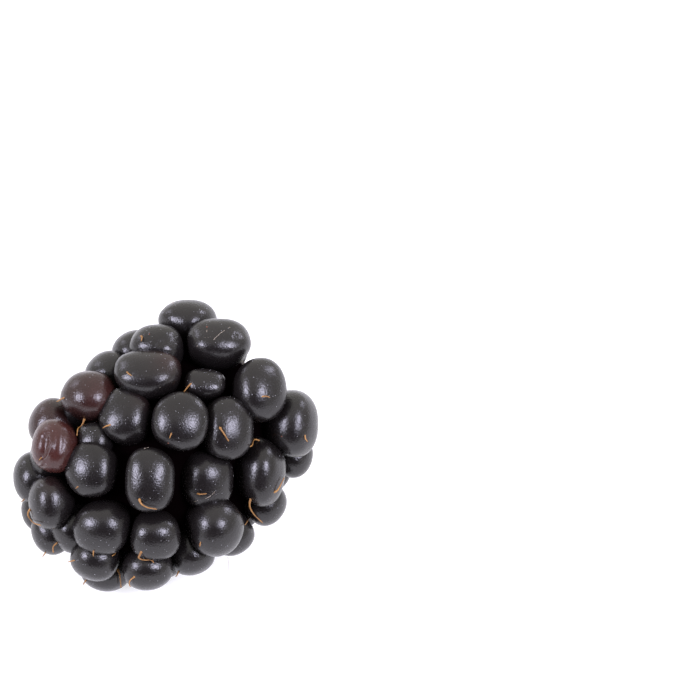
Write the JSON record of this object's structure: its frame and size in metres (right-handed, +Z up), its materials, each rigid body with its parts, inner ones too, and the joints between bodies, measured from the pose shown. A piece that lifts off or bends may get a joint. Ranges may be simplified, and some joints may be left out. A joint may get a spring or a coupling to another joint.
{
  "type": "bramble_berry",
  "caption": "A ripe bramble berry as picked, lying on its side: one fused near-black fruit of drupelets on a pale receptacle, with the withered styles still on it.",
  "frame": {"origin": "Under the middle of the berry, on the surface it lies on: the centre of the underside of its bounding box.", "axes": "+Y runs along the berry from its tip to its stem end, +Z up from the surface it lies on, +X across it. The tip end dips about 8 degrees below level."},
  "size_m": [0.0221, 0.0284, 0.0212],
  "materials": {
    "skin": "satin",
    "style": "matte"
  },
  "bodies": {
    "root": {"berry": "skin", "style_01": "style", "style_02": "style", "style_03": "style", "style_04": "style", "style_05": "style", "style_06": "style", "style_07": "style", "style_08": "style", "style_09": "style", "style_10": "style", "style_11": "style", "style_12": "style", "style_13": "style", "style_14": "style", "style_15": "style", "style_16": "style", "style_17": "style", "style_18": "style", "style_19": "style", "style_20": "style", "style_21": "style", "style_22": "style", "style_23": "style", "style_24": "style", "style_25": "style", "style_26": "style", "style_27": "style", "style_28": "style", "style_29": "style", "style_30": "style", "style_31": "style", "style_32": "style", "style_33": "style", "style_34": "style", "style_35": "style", "style_36": "style", "style_37": "style", "style_38": "style", "style_39": "style", "style_40": "style", "style_41": "style", "style_42": "style", "style_43": "style", "style_44": "style"}
  },
  "joints": []
}
